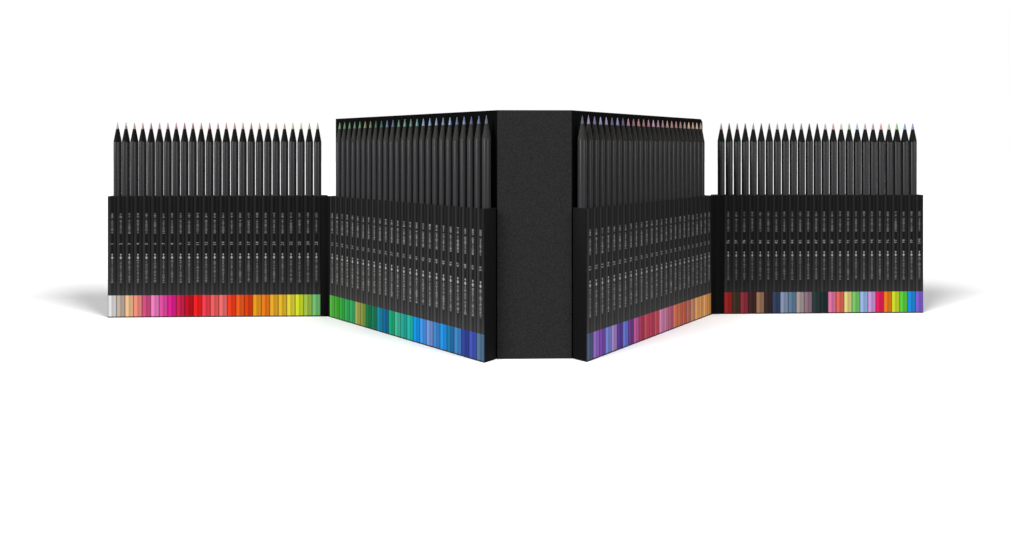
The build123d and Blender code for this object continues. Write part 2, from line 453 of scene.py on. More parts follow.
# ---- Covers: linings ------------------------------------------------------------------------------
# Deep black uncoated paper on the inner side of each cover, behind the inner tray. It drinks nearly all
# light, so that the pencils stand out against it. Its tooth is drawn coarser than real, to show at all.
PAPER_TOOTH = 0.59

black_paper, tree, place = start_material("deep_black_paper")
tooth = add_node(tree, "TexNoise", {"Scale": per_metre(PAPER_TOOTH), "Detail": 3.0}, {"Vector": place})
soft_black = add_node(
    tree, "Mix", {"data_type": "RGBA", "A_Color": linear("030304"), "B_Color": linear("090909")},
    {"Factor_Float": tooth.outputs["Fac"]},
)
bump = add_node(tree, "Bump", {"Strength": 0.3, "Distance": 0.00005}, {"Height": tooth.outputs["Fac"]})
matt = add_node(
    tree, "BsdfPrincipled", {"Roughness": 0.9, "Specular IOR Level": 0.05},
    {"Base Color": soft_black, "Normal": bump.outputs[0]},
)
add_node(tree, "OutputMaterial", {}, {"Surface": matt.outputs[0]})
for side in ("left", "right"):
    refinish(f"{side}_cover_lining", black_paper)


# ---- Case folds -----------------------------------------------------------------------------------
# The covering paper runs on from the spine to each cover. It is pressed into the groove between their
# boards, lies there on the back of the lining, and bends only along the line of the fold.
def make_folded(points, height, folds):
    """An upright sheet through points in plan. Each fold is (number of its point, offset, segments)."""
    bm = bmesh.new()
    verts = [bm.verts.new((x, y, 0)) for x, y in points]
    for one, other in zip(verts, verts[1:]):
        bm.edges.new((one, other))
    made = bmesh.ops.extrude_edge_only(bm, edges=bm.edges[:])["geom"]
    raised = [part for part in made if isinstance(part, bmesh.types.BMVert)]
    bmesh.ops.translate(bm, verts=raised, vec=(0, 0, height))
    for number, offset, segments in folds:
        x, y = points[number]
        crease = [
            edge for edge in bm.edges
            if all((vert.co.xy - Vector((x, y))).length < 0.001 for vert in edge.verts)
        ]
        bmesh.ops.bevel(
            bm, geom=crease, offset=offset, offset_type="OFFSET", segments=segments, profile=0.5,
            affect="EDGES", material=-1,
        )
    return bm


def thicken(piece, thickness):
    """Gives a folded sheet its thickness, half on each side of the line that it was made on."""
    wall = piece.modifiers.new("thickness", "SOLIDIFY")
    wall.thickness = thickness * MM
    wall.offset = 0.0
    wall.use_even_offset = True


# In plan: the line that the right cover turns about, and the groove behind it, which runs from the
# spine's edge to the cover's edge. Its bed lies just behind that line and ends a little past it.
CASE_FOLD = Vector((26.9658, -1.3))
SPINE_EDGE = 23.73
SPINE_BACK = 1.3
COVER_EDGE = 0.435
COVER_BACK = 2.55
GROOVE_BED = -1.035
BED_END = 27.316
BED_CORNER = 0.25
BEND_CORNER = 0.32
GROOVE_PAPER = 0.13
FOLD_MARGIN = 0.1


def on_cover(along, behind):
    """A point of the right cover in plan, from its fold line along it and behind its lining."""
    x_direction = Vector((math.cos(math.radians(FOLDED_BACK)), math.sin(math.radians(FOLDED_BACK))))
    y_direction = Vector((-x_direction.y, x_direction.x))
    return CASE_FOLD + along * x_direction + behind * y_direction


for side, mirrored in (("left", -1), ("right", 1)):
    path = [
        (SPINE_EDGE, SPINE_BACK), (SPINE_EDGE, GROOVE_BED), (BED_END, GROOVE_BED),
        on_cover(COVER_EDGE, COVER_BACK),
    ]
    folds = [(1, BED_CORNER, 3), (2, BEND_CORNER, 5)]
    sheet = make_folded(path, CASE_HEIGHT - 2 * FOLD_MARGIN, folds)
    flip = Matrix.Diagonal((mirrored * MM, MM, MM, 1.0))
    to_place = Matrix.Translation((0, 0, FOLD_MARGIN * MM)) @ flip
    fold = finish_piece(f"{side}_case_fold", sheet, to_place, [covering_paper])
    thicken(fold, GROOVE_PAPER)
    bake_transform(fold)


# ---- Trays: front boards, cartons and racks -------------------------------------------------------
# Each pocket is a carton of solid-dyed black card, folded at its two back corners, with a stiff front
# board glued before it. Inside, a rack of moulded pulp keeps the pencils apart.
TRAY_WIDTH = 195.55
TRAY_HEIGHT = 110.0
TRAY_DEPTH = 13.03
PRINT = 0.25
CARD = 1.2
FRONT_BACK = PRINT + CARD
FRONT_EDGE = 0.2
CARD_FOLD = 1.3
CARD_EDGE = 0.14
TRAY_FLOOR = 2.0
FLOOR_GAP = 0.05
LET_IN = 0.1

# tray, side, row, body, turn about the upright; from the viewer's left to the right
TRAYS = (
    ("left_outer_tray", "left", "outer", "left_wing", 0),
    ("left_inner_tray", "left", "inner", "left_cover", -FOLDED_BACK),
    ("right_inner_tray", "right", "inner", "right_cover", FOLDED_BACK),
    ("right_outer_tray", "right", "outer", "right_wing", 0),
)


def tray_place(tray, degrees):
    """Matrix from a tray's own millimetres: x to the viewer's right, y behind the print, z up."""
    front_middle = Vector((TRAY_WIDTH / 2, PRINT + CARD / 2, TRAY_HEIGHT / 2))
    return standing(middle_of(f"{tray}_front"), degrees) @ Matrix.Translation(-front_middle)


PLACES = {tray: tray_place(tray, degrees) for tray, _, _, _, degrees in TRAYS}

# Dyed right through, so its cut edges are as black as its face, with the dull sheen of a calender.
CARD_FIBRE = 1.1
CARD_CLOUD = 22.0

black_card, tree, place = start_material("solid_black_card")
fibres = add_node(
    tree, "TexNoise", {"Scale": per_metre(CARD_FIBRE), "Detail": 4.0, "Roughness": 0.65},
    {"Vector": place},
)
cloudy = add_node(tree, "TexNoise", {"Scale": per_metre(CARD_CLOUD), "Detail": 2.0}, {"Vector": place})
shade = add_node(
    tree, "Mix", {"data_type": "RGBA", "A_Color": linear("0A0A0B"), "B_Color": linear("131314")},
    {"Factor_Float": fibres.outputs["Fac"]},
)
bump = add_node(
    tree, "Bump", {"Strength": 0.35, "Distance": 0.00006}, {"Height": fibres.outputs["Fac"]}
)
calender = add_node(
    tree, "MapRange", {"To Min": 0.5, "To Max": 0.66}, {"Value": cloudy.outputs["Fac"]}
)
card = add_node(
    tree, "BsdfPrincipled", {"IOR": 1.5, "Specular IOR Level": 0.05},
    {
        "Base Color": wear_to(tree, place, shade, "323130", 0.5),
        "Roughness": calender.outputs[0],
        "Normal": bump.outputs[0],
    },
)
add_node(tree, "OutputMaterial", {}, {"Surface": card.outputs[0]})

# Rough and dull, with the grey flocks of the paper that it is pulped from.
PULP_FLOCK = 1.9

moulded_pulp, tree, place = start_material("moulded_pulp")
pulp_fibres = add_node(
    tree, "TexNoise", {"Scale": per_metre(PULP_FLOCK), "Detail": 5.0, "Roughness": 0.75},
    {"Vector": place},
)
grey_black = add_node(
    tree, "ValToRGB", {"stops": [(0.35, "121212"), (0.6, "222120"), (0.75, "34322F")]},
    {"Fac": pulp_fibres.outputs["Fac"]},
)
bump = add_node(
    tree, "Bump", {"Strength": 0.8, "Distance": 0.0003}, {"Height": pulp_fibres.outputs["Fac"]}
)
pulp = add_node(
    tree, "BsdfPrincipled", {"Roughness": 0.95, "Specular IOR Level": 0.15},
    {"Base Color": grey_black.outputs["Color"], "Normal": bump.outputs[0]},
)
add_node(tree, "OutputMaterial", {}, {"Surface": pulp.outputs[0]})


def make_carton():
    """Back and two ends of a pocket in one folded card, with its bottom let in between them."""
    path = [(0, FRONT_BACK), (0, TRAY_DEPTH), (TRAY_WIDTH, TRAY_DEPTH), (TRAY_WIDTH, FRONT_BACK)]
    bm = make_folded(path, TRAY_HEIGHT, [(1, CARD_FOLD, 4), (2, CARD_FOLD, 4)])
    bmesh.ops.solidify(bm, geom=bm.faces[:], thickness=CARD)
    bmesh.ops.recalc_face_normals(bm, faces=bm.faces)
    sharp = [edge for edge in bm.edges if edge.calc_face_angle(0) > math.radians(60)]
    round_edges(bm, sharp, CARD_EDGE, 2)
    floor_card = make_block(
        (CARD - LET_IN, TRAY_WIDTH - CARD + LET_IN),
        (FRONT_BACK + FLOOR_GAP, TRAY_DEPTH - CARD + LET_IN),
        (FLOOR_GAP, TRAY_FLOOR), CARD_EDGE,
    )
    floor_mesh = bpy.data.meshes.new("floor_card")
    floor_card.to_mesh(floor_mesh)
    floor_card.free()
    bm.from_mesh(floor_mesh)
    bpy.data.meshes.remove(floor_mesh)
    return bm


for tray, _, _, body, _ in TRAYS:
    carton = finish_piece(
        f"{tray}_folded_carton", make_carton(), PLACES[tray], [black_card], body
    )
    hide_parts(f"{tray}_carton")
    front = finish_piece(
        f"{tray}_front_board",
        make_block((0, TRAY_WIDTH), (PRINT, FRONT_BACK), (0, TRAY_HEIGHT), FRONT_EDGE),
        PLACES[tray], [black_card], body,
    )
    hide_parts(f"{tray}_front")
    refinish(f"{tray}_rack", moulded_pulp)


# ---- Trays: printed fronts ------------------------------------------------------------------------
# Each front board carries a printed sheet under a satin film. It pictures the pencils behind it, one to
# a column: a shaded dark barrel with silver rules and two lozenges, and the dipped end in its colour.
PIGMENT_NAMES = {
    "left_outer_tray": (
        "white EEE, taupe CBA, sand FC9, salmon F98, old_rose D58, orchid F8C, pink E5A, magenta E29, "
        "crimson D25, deep_red C12, red F22, rose_red F45, coral F66, light_coral F77, vermilion F42, "
        "orange_red F62, burnt_orange E41, orange FA2, dark_orange F82, golden FB3, yellow FC3, "
        "lemon FE4, lime_yellow EF3, yellow_green BD5, light_green 8D8"
    ),
    "left_inner_tray": (
        "leaf 5B4, grass 4A3, permanent_green 3A4, emerald_green 3A5, green 3A6, olive_tan AA5, "
        "olive 894, pine 174, fir 175, teal 18A, petrol 169, emerald 1A7, jade 4B9, sea_green 2A9, "
        "turquoise 2BA, azure 19E, light_azure 49E, periwinkle 79D, blue 48C, sky_blue 29E, "
        "steel_blue 27A, mid_blue 48C, blue_violet 349, ultramarine 45B, slate_blue 579"
    ),
    "right_inner_tray": (
        "slate 568, lavender A7D, violet 85B, pale_periwinkle 89E, lilac B9D, dark_violet 64A, "
        "hyacinth 78E, plum 749, rose_magenta D6A, carmine B46, crimson_lake D56, alizarin C46, "
        "madder D56, orchid_pink E9C, dusky_pink D8A, rose_brown C68, terracotta E86, brick_red D75, "
        "rust D65, sienna C76, light_sienna D97, ochre FB7, gold_ochre EA6, light_ochre FB7, tan D95"
    ),
    "right_outer_tray": (
        "brick C33, olive_brown 543, maroon B45, dark_brown 533, cinnamon C97, black_brown 433, "
        "storm_grey 457, cloud_blue ABD, dusk_blue 79B, warm_grey CBB, mauve_grey A89, dark_slate 344, "
        "black 233, candy_pink F8B, peach F76, cream_yellow FE9, apple_green 8D7, baby_blue ACF, "
        "pale_lilac DAE, ruby F26, bright_orange F82, lime DE3, bright_green 6D4, cobalt 29E, "
        "bright_violet 86D"
    ),
}


def plain_colour(entry):
    """A pigment's colour, from its name and one hex digit each for red, green and blue."""
    return linear("".join(2 * digit for digit in entry.split()[1]))


PIGMENTS = {
    tray: [plain_colour(entry) for entry in names.split(", ")] for tray, names in PIGMENT_NAMES.items()
}
COLUMNS = 25
# Painted light: the sheets of the inner trays are drawn lighter, for the brighter light on them.
PAINTED_PRINT_LIGHT = {"inner": 1.5, "outer": 1.0}
BAND_FOOT = 1.0
BAND_TOP = 20.0
FILM_RIPPLE = 2.4
STROKE_PITCH = 0.95
STROKE_SHARE = 0.58
RULES = ((31.0, 52.0), (76.0, 88.6), (90.0, 94.6))
BARREL_MIDDLE = 0.52

printed_card, tree, sheet_metres = start_material("printed_satin_card")
sheet_place = add_node(tree, "UVMap", {"uv_map": "columns"}).outputs["UV"]
axes = add_node(tree, "SeparateXYZ", {}, {"Vector": sheet_place}).outputs


def between(tree, value, low, high, soft=0.05):
    """1 where a value lies between two limits and 0 outside, with a soft change at each."""
    rise = add_node(
        tree, "MapRange", {"From Min": low - soft, "From Max": low + soft}, {"Value": value}
    )
    fall = add_node(
        tree, "MapRange",
        {"From Min": high - soft, "From Max": high + soft, "To Min": 1.0, "To Max": 0.0},
        {"Value": value},
    )
    return add_node(tree, "Math", {"operation": "MULTIPLY"}, {"Value": rise, "Value_001": fall})


column = add_node(tree, "Math", {"operation": "FLOOR"}, {"Value": axes["X"]})
across = add_node(tree, "Math", {"operation": "FRACT"}, {"Value": axes["X"]})
height = axes["Y"]

# The barrel in each column: a lit left facet, a dark middle, a half-lit right facet, a black gap.
barrel = add_node(
    tree, "ValToRGB",
    {"stops": [
        (0.0, "020202"), (0.06, "040404"), (0.12, "323232"), (0.33, "2E2E2E"), (0.42, "0D0D0D"),
        (0.64, "0D0D0D"), (0.72, "222222"), (0.90, "1F1F1F"), (0.95, "020202"),
    ]},
    {"Fac": across},
)

# The barrels turn paler towards the dipped ends and dimmer near the top of the sheet. The sheets of the
# inner trays are drawn lighter than those of the wings, as painted light for the brighter light on them.
share_up = add_node(
    tree, "Math", {"operation": "DIVIDE", "Value_001": TRAY_HEIGHT}, {"Value": height}
)
lift = add_node(
    tree, "ValToRGB",
    {"stops": [(0.0, "707070"), (0.2, "707070"), (0.32, "404040"), (0.55, "0A0A0A"), (1.0, "0A0A0A")]},
    {"Fac": share_up},
)
dim_top = add_node(
    tree, "MapRange", {"From Min": 66.0, "From Max": 96.0, "To Min": 0.95, "To Max": 0.5},
    {"Value": height},
)
pale_ink = add_node(tree, "Attribute", {"attribute_name": "pale_ink"})
ink_light = add_node(
    tree, "Math", {"operation": "MULTIPLY"}, {"Value": dim_top, "Value_001": pale_ink.outputs["Fac"]}
)
barrel_light = add_node(
    tree, "VectorMath", {"operation": "SCALE"}, {"Vector": barrel.outputs["Color"], "Scale": ink_light}
)
shaded = add_node(
    tree, "Mix", {"data_type": "RGBA", "blend_type": "ADD", "Factor_Float": 0.12},
    {"A_Color": barrel_light, "B_Color": lift.outputs["Color"]},
)

# The dipped end of each barrel, in the colour of its lead, with the same light on its facets.
pigment = add_node(tree, "Attribute", {"attribute_name": "pigment"})
dip_light = add_node(
    tree, "ValToRGB",
    {"stops": [
        (0.0, "8C8C8C"), (0.05, "B4B4B4"), (0.11, "FFFFFF"), (0.38, "FFFFFF"), (0.48, "D4D4D4"),
        (0.68, "D4D4D4"), (0.76, "E4E4E4"), (0.91, "DCDCDC"), (0.97, "A0A0A0"),
    ]},
    {"Fac": across},
)
dip = add_node(
    tree, "Mix", {"data_type": "RGBA", "blend_type": "MULTIPLY", "Factor_Float": 1.0},
    {"A_Color": pigment.outputs["Color"], "B_Color": dip_light.outputs["Color"]},
)
picture = add_node(
    tree, "Mix", {"data_type": "RGBA"},
    {
        "Factor_Float": between(tree, height, BAND_FOOT, BAND_TOP, 0.15),
        "A_Color": shaded,
        "B_Color": dip,
    },
)

# Silver rules of short strokes, 0.95 mm apart and unequal in length and wear, and the two lozenges.
strokes_up = add_node(
    tree, "Math", {"operation": "DIVIDE", "Value_001": STROKE_PITCH}, {"Value": height}
)
stroke_number = add_node(tree, "Math", {"operation": "FLOOR"}, {"Value": strokes_up})
stroke_phase = add_node(tree, "Math", {"operation": "FRACT"}, {"Value": strokes_up})
stroke_seed = add_node(tree, "CombineXYZ", {}, {"X": stroke_number, "Y": column})
chance = add_node(tree, "TexWhiteNoise", {"noise_dimensions": "2D"}, {"Vector": stroke_seed.outputs[0]})
reach = add_node(tree, "MapRange", {"To Min": 0.07, "To Max": 0.15}, {"Value": chance.outputs["Value"]})
aside = add_node(
    tree, "Math", {"operation": "SUBTRACT", "Value_001": BARREL_MIDDLE}, {"Value": across}
)
off_middle = add_node(tree, "Math", {"operation": "ABSOLUTE"}, {"Value": aside})
in_width = add_node(
    tree, "Math", {"operation": "LESS_THAN"}, {"Value": off_middle, "Value_001": reach}
)
in_stroke = add_node(
    tree, "Math", {"operation": "LESS_THAN", "Value_001": STROKE_SHARE}, {"Value": stroke_phase}
)
rules = add_node(tree, "Math", {"operation": "MULTIPLY"}, {"Value": in_width, "Value_001": in_stroke})
low_rule, middle_rule, top_rule = (between(tree, height, low, high) for low, high in RULES)
upper_rules = add_node(
    tree, "Math", {"operation": "ADD"}, {"Value": middle_rule, "Value_001": top_rule}
)
all_rules = add_node(
    tree, "Math", {"operation": "ADD"}, {"Value": low_rule, "Value_001": upper_rules}
)
foil_wear = add_node(tree, "SeparateXYZ", {}, {"Vector": chance.outputs["Color"]}).outputs["Y"]
stroke_strength = add_node(tree, "MapRange", {"To Min": 0.3, "To Max": 1.0}, {"Value": foil_wear})
for factor in (all_rules, stroke_strength):
    rules = add_node(tree, "Math", {"operation": "MULTIPLY"}, {"Value": rules, "Value_001": factor})


def lozenge(level, half_height, half_width):
    """1 inside a lozenge that stands at this level. Its half width is a share of the column."""
    up = add_node(tree, "Math", {"operation": "SUBTRACT", "Value_001": level}, {"Value": height})
    off_level = add_node(tree, "Math", {"operation": "ABSOLUTE"}, {"Value": up})
    share_of_height = add_node(
        tree, "Math", {"operation": "DIVIDE", "Value_001": half_height}, {"Value": off_level}
    )
    share_of_width = add_node(
        tree, "Math", {"operation": "DIVIDE", "Value_001": half_width}, {"Value": off_middle}
    )
    reached = add_node(
        tree, "Math", {"operation": "ADD"}, {"Value": share_of_height, "Value_001": share_of_width}
    )
    return add_node(tree, "Math", {"operation": "LESS_THAN", "Value_001": 1.0}, {"Value": reached})


upper_lozenge = lozenge(level=57.0, half_height=1.0, half_width=0.11)
lower_lozenge = lozenge(level=54.2, half_height=1.7, half_width=0.15)
marks = add_node(
    tree, "Math", {"operation": "MAXIMUM"}, {"Value": upper_lozenge, "Value_001": lower_lozenge}
)
# The silver is lifted by the same painted light.
silver_ink = add_node(
    tree, "VectorMath", {"operation": "SCALE", "Vector": linear("868686")[:3]},
    {"Scale": pale_ink.outputs["Fac"]},
)
with_rules = add_node(
    tree, "Mix", {"data_type": "RGBA"},
    {"Factor_Float": rules, "A_Color": picture, "B_Color": silver_ink},
)
with_marks = add_node(
    tree, "Mix", {"data_type": "RGBA", "B_Color": linear("A6A6A6")},
    {"Factor_Float": marks, "A_Color": with_rules},
)
film_ripple = add_node(
    tree, "TexNoise", {"Scale": per_metre(FILM_RIPPLE), "Detail": 2.0}, {"Vector": sheet_metres}
)
bump = add_node(
    tree, "Bump", {"Strength": 0.15, "Distance": 0.00004}, {"Height": film_ripple.outputs["Fac"]}
)
satin = add_node(
    tree, "MapRange", {"To Min": 0.46, "To Max": 0.56}, {"Value": film_ripple.outputs["Fac"]}
)
print_shader = add_node(
    tree, "BsdfPrincipled", {"IOR": 1.5, "Specular IOR Level": 0.07},
    {
        "Base Color": wear_to(tree, sheet_metres, with_marks, "4A4948", 0.4),
        "Roughness": satin.outputs[0],
        "Normal": bump.outputs[0],
    },
)
add_node(tree, "OutputMaterial", {}, {"Surface": print_shader.outputs[0]})

# From where to where each sheet reaches along its tray. A wing's sheet leaves a margin at its hinge.
LEFT_MARGIN = 4.0
RIGHT_MARGIN = 8.2
SHEET_EDGE = 0.08
SHEETS = {tray: (0, TRAY_WIDTH) for tray in PLACES}
SHEETS["left_outer_tray"] = (0, TRAY_WIDTH - LEFT_MARGIN)
SHEETS["right_outer_tray"] = (RIGHT_MARGIN, TRAY_WIDTH)


def make_print(x_span, colours, print_light_share):
    """Printed sheet, with a strip of faces, a colour and one unit of its map to each column."""
    bm = make_block(x_span, (0, PRINT), (0, TRAY_HEIGHT), SHEET_EDGE, 1)
    pitch = (x_span[1] - x_span[0]) / COLUMNS
    for number in range(1, COLUMNS):
        whole = bm.verts[:] + bm.edges[:] + bm.faces[:]
        cut_at = (x_span[0] + number * pitch, 0, 0)
        bmesh.ops.bisect_plane(bm, geom=whole, dist=0.0001, plane_co=cut_at, plane_no=(1, 0, 0))
    pigment_layer = bm.loops.layers.float_color.new("pigment")
    map_layer = bm.loops.layers.uv.new("columns")
    # Each face carries the painted light of its tray's sheet.
    print_light_layer = bm.faces.layers.float.new("pale_ink")
    for face in bm.faces:
        face[print_light_layer] = print_light_share
        number = min(COLUMNS - 1, int((face.calc_center_median().x - x_span[0]) / pitch))
        for loop in face.loops:
            loop[pigment_layer] = colours[number]
            loop[map_layer].uv = ((loop.vert.co.x - x_span[0]) / pitch, loop.vert.co.z)
    return bm


for tray, _, row, body, _ in TRAYS:
    sheet = finish_piece(
        f"{tray}_printed_sheet", make_print(SHEETS[tray], PIGMENTS[tray], PAINTED_PRINT_LIGHT[row]), PLACES[tray],
        [printed_card], body,
    )
    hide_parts(f"{tray}_print")


# ---- Trays: position numbers ----------------------------------------------------------------------
# The place of each pencil in the set, from 1 to 100, stamped in silver foil and turned to read upwards.
# The foil is dull and a little brushed, so that it looks pale grey and hardly mirrors.
FIGURE_SIZE = 3.6
FIGURE_LEVEL = 66.8
FOIL = 0.008
FOIL_PROUD = 0.01
FOIL_BRUSHING = 0.33

silver_foil, tree, place = start_material("silver_foil")
brushed = add_node(
    tree, "TexNoise", {"Scale": per_metre(FOIL_BRUSHING), "Detail": 2.0}, {"Vector": place}
)
foil_grey = add_node(
    tree, "Mix", {"data_type": "RGBA", "A_Color": linear("88888A"), "B_Color": linear("A8A8AA")},
    {"Factor_Float": brushed.outputs["Fac"]},
)
foil = add_node(
    tree, "BsdfPrincipled", {"Metallic": 0.6, "Roughness": 0.45}, {"Base Color": foil_grey}
)
add_node(tree, "OutputMaterial", {}, {"Surface": foil.outputs[0]})


def make_numbers(x_span, first):
    """The numbers of one tray in one mesh, each on the barrel of its own column."""
    bm = bmesh.new()
    pitch = (x_span[1] - x_span[0]) / COLUMNS
    for number in range(COLUMNS):
        figure = bpy.data.curves.new("number", "FONT")
        figure.body = str(first + number)
        figure.size = FIGURE_SIZE
        figure.align_x = "CENTER"
        figure.align_y = "CENTER"
        figure.resolution_u = 1
        figure.extrude = FOIL
        text = bpy.data.objects.new("number", figure)
        mesh = bpy.data.meshes.new_from_object(text)
        x = x_span[0] + (number + BARREL_MIDDLE) * pitch
        turned = Matrix.Rotation(math.radians(90), 4, "X") @ Matrix.Rotation(math.radians(90), 4, "Z")
        mesh.transform(Matrix.Translation((x, -FOIL_PROUD, FIGURE_LEVEL)) @ turned)
        bm.from_mesh(mesh)
        bpy.data.objects.remove(text)
        bpy.data.curves.remove(figure)
        bpy.data.meshes.remove(mesh)
    bmesh.ops.remove_doubles(bm, verts=bm.verts, dist=0.0005)
    return bm


for trays_before, (tray, _, _, body, _) in enumerate(TRAYS):
    finish_piece(
        f"{tray}_numbers", make_numbers(SHEETS[tray], 1 + trays_before * COLUMNS), PLACES[tray],
        [silver_foil], body,
    )


# ---- Hinge strips ---------------------------------------------------------------------------------
# A strip of black bookcloth joins each wing to its inner tray. It is glued on the tray's far end, comes
# round the corner, crosses the fold, and is glued as a flap on the wing's front board.
STRIP = 0.4
STRIP_BEHIND = 0.05
STRIP_CORNER = 0.35
GLUED_TO = 9.25
FOLD_OUT = 2.7
FOLD_ROUND = 0.25
FLAP = 3.8

# A plain weave of dull threads with slubs in them. The threads are drawn coarser than real ones, so
# that the weave shows as a fine check.
THREAD = 0.62
SLUB = 1.4

bookcloth, tree, place = start_material("black_bookcloth")
weave_place = add_node(tree, "UVMap", {"uv_map": "weave"}).outputs["UV"]
scaled = add_node(
    tree, "VectorMath", {"operation": "SCALE", "Scale": 2 * math.pi / THREAD}, {"Vector": weave_place}
)
ways = add_node(tree, "SeparateXYZ", {}, {"Vector": scaled.outputs[0]}).outputs
warp = add_node(tree, "Math", {"operation": "SINE"}, {"Value": ways["X"]})
weft = add_node(tree, "Math", {"operation": "SINE"}, {"Value": ways["Y"]})
weave = add_node(tree, "Math", {"operation": "MULTIPLY"}, {"Value": warp, "Value_001": weft})
slub = add_node(tree, "TexNoise", {"Scale": per_metre(SLUB), "Detail": 2.0}, {"Vector": place})
thread_height = add_node(
    tree, "Math", {"operation": "ADD"}, {"Value": weave, "Value_001": slub.outputs["Fac"]}
)
thread_shade = add_node(
    tree, "MapRange", {"From Min": -0.8, "From Max": 1.8}, {"Value": thread_height}
)
cloth_black = add_node(
    tree, "Mix", {"data_type": "RGBA", "A_Color": linear("050505"), "B_Color": linear("101010")},
    {"Factor_Float": thread_shade.outputs[0]},
)
bump = add_node(tree, "Bump", {"Strength": 0.6, "Distance": 0.00012}, {"Height": thread_height})
cloth = add_node(
    tree, "BsdfPrincipled",
    {"Roughness": 0.8, "Specular IOR Level": 0.05, "Sheen Weight": 0.01, "Sheen Roughness": 0.4},
    {"Base Color": cloth_black, "Normal": bump.outputs[0]},
)
add_node(tree, "OutputMaterial", {}, {"Surface": cloth.outputs[0]})


def map_weave(bm):
    """Maps a folded sheet flat, in millimetres along it and up it."""
    layer = bm.loops.layers.uv.new("weave")
    feet = [vert for vert in bm.verts if vert.co.z < 0.01]
    first = min(feet, key=lambda vert: len(vert.link_faces))
    along = {first: 0.0}
    queue = [first]
    while queue:
        vert = queue.pop()
        for edge in vert.link_edges:
            other = edge.other_vert(vert)
            if other not in along:
                along[other] = along[vert] + (other.co.xy - vert.co.xy).length
                queue.append(other)
    for face in bm.faces:
        for loop in face.loops:
            loop[layer].uv = (along[loop.vert], loop.vert.co.z)


# side, far end of the inner tray and near end of the wing in their own x, which way is outward
for side, inner_far, wing_near, outward in (
    ("left", 0.0, TRAY_WIDTH, -1),
    ("right", TRAY_WIDTH, 0.0, 1),
):
    inner, wing = PLACES[f"{side}_inner_tray"], PLACES[f"{side}_outer_tray"]
    tangent = FOLD_ROUND * math.tan(math.radians(FOLDED_BACK / 2))
    flap_end = inner.inverted() @ wing @ Vector((wing_near + outward * FLAP, STRIP_BEHIND, 0))
    path = [
        (inner_far + outward * STRIP / 2, GLUED_TO),
        (inner_far + outward * STRIP / 2, STRIP_BEHIND),
        (inner_far + outward * (FOLD_OUT + tangent), STRIP_BEHIND),
        (flap_end.x, flap_end.y),
    ]
    ribbon = make_folded(path, TRAY_HEIGHT, [(1, STRIP_CORNER, 4), (2, tangent, 4)])
    map_weave(ribbon)
    strip = finish_piece(f"{side}_hinge_strip", ribbon, inner, [bookcloth])
    thicken(strip, STRIP)
    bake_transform(strip)
    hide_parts(f"{side}_hinge_inner_leaf", f"{side}_hinge_outer_leaf")


# ---- Pencils --------------------------------------------------------------------------------------
# A hexagon of black-dyed wood in matt dark grey lacquer, sharpened, with its lower end dipped in the
# colour of its lead. The cutter leaves a scalloped line where its cone meets the six flats.
PENCIL_LENGTH = 175.0
ACROSS_FLATS = 6.45
CORNER_RADIUS = ACROSS_FLATS / 2 / math.cos(math.radians(30))
CORNER_CUT = 0.6
FOOT_ROUND = 0.45
FOOT_SHARE = 0.87
POINT_RADIUS = 0.25
POINT_SLOPE = math.tan(math.radians(10.25))
BLUNTED = 0.12
LIP_RADIUS = 1.3
CORE_RADIUS = LIP_RADIUS - 0.05
CORE_BELOW_LIP = 1.5
DIP = 20.0
DIP_SOFT = 0.1
PENCIL_BEHIND = 7.559
SIDE, CONE = 0, 1

# A thin matt coat: an even dark grey in which the wood's grain stays as faint streaks up the pencil.
# They are drawn wider than real ones, so that they show.
STREAK_WIDTH = 1.111
STREAK_LENGTH = 33.33

lacquer, tree, place = start_material("matt_pencil_lacquer")
axes = add_node(tree, "SeparateXYZ", {}, {"Vector": place}).outputs
streaks = (per_metre(STREAK_WIDTH), per_metre(STREAK_WIDTH), per_metre(STREAK_LENGTH))
stretched = add_node(tree, "Mapping", {"Scale": streaks}, {"Vector": place})
flow = add_node(tree, "TexNoise", {"Scale": 1.0, "Detail": 2.0}, {"Vector": stretched.outputs[0]})
lacquer_grey = add_node(
    tree, "Mix", {"data_type": "RGBA", "A_Color": linear("2C2B2D"), "B_Color": linear("353436")},
    {"Factor_Float": flow.outputs["Fac"]},
)
pigment = add_node(tree, "Attribute", {"attribute_name": "pigment"})
dipped = add_node(
    tree, "MapRange",
    {
        "From Min": (TRAY_FLOOR + DIP - DIP_SOFT) * MM,
        "From Max": (TRAY_FLOOR + DIP + DIP_SOFT) * MM,
        "To Min": 1.0,
        "To Max": 0.0,
    },
    {"Value": axes["Z"]},
)
coat_colour = add_node(
    tree, "Mix", {"data_type": "RGBA"},
    {
        "Factor_Float": dipped.outputs[0],
        "A_Color": lacquer_grey,
        "B_Color": pigment.outputs["Color"],
    },
)
bump = add_node(tree, "Bump", {"Strength": 0.2, "Distance": 0.00005}, {"Height": flow.outputs["Fac"]})
matt_gloss = add_node(
    tree, "MapRange", {"To Min": 0.26, "To Max": 0.34}, {"Value": flow.outputs["Fac"]}
)
lacquer_shader = add_node(
    tree, "BsdfPrincipled", {"IOR": 1.5, "Specular IOR Level": 0.12},
    {
        "Base Color": coat_colour,
        "Roughness": matt_gloss.outputs[0],
        "Normal": bump.outputs[0],
    },
)
add_node(tree, "OutputMaterial", {}, {"Surface": lacquer_shader.outputs[0]})


WOOD_GRAIN_WIDTH = 0.3846
WOOD_GRAIN_LENGTH = 6.25


